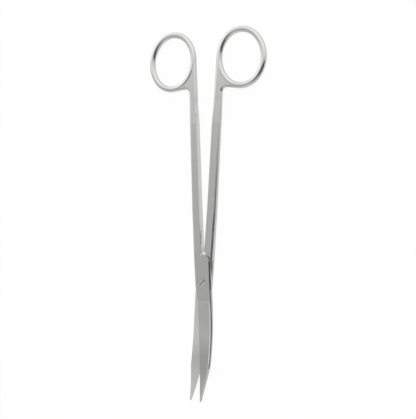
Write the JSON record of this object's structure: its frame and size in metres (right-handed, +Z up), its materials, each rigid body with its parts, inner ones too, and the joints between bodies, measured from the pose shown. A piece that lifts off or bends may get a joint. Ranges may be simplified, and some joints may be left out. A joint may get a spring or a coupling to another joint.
{
  "type": "dissecting scissors",
  "caption": "Long slender surgical scissors: short curved blades, a lapped screw joint, and oval finger rings on straight shanks.",
  "frame": {"origin": "on the pivot's axis, level with the underside of the joint", "axes": "+Y from the pivot towards the finger rings, +X towards the lower half's ring, +Z up out of the plane the scissors lie on; the blades curve towards +Z"},
  "size_m": [0.0792, 0.2271, 0.0136],
  "materials": {
    "upper_half": "satin stainless steel",
    "lower_half": "satin stainless steel",
    "pivot_screw": "satin stainless steel, turned"
  },
  "bodies": {
    "lower_body": {"lower_half": "lower_half", "pivot_screw": "pivot_screw"},
    "upper_body": {"upper_half": "upper_half"}
  },
  "joints": [
    {"name": "pivot", "type": "hinge", "parent": "lower_body", "child": "upper_body", "pos_m": [0, 0, 0.0026], "axis": [0, 0, 1], "range_deg": [-5.6, 70]}
  ]
}
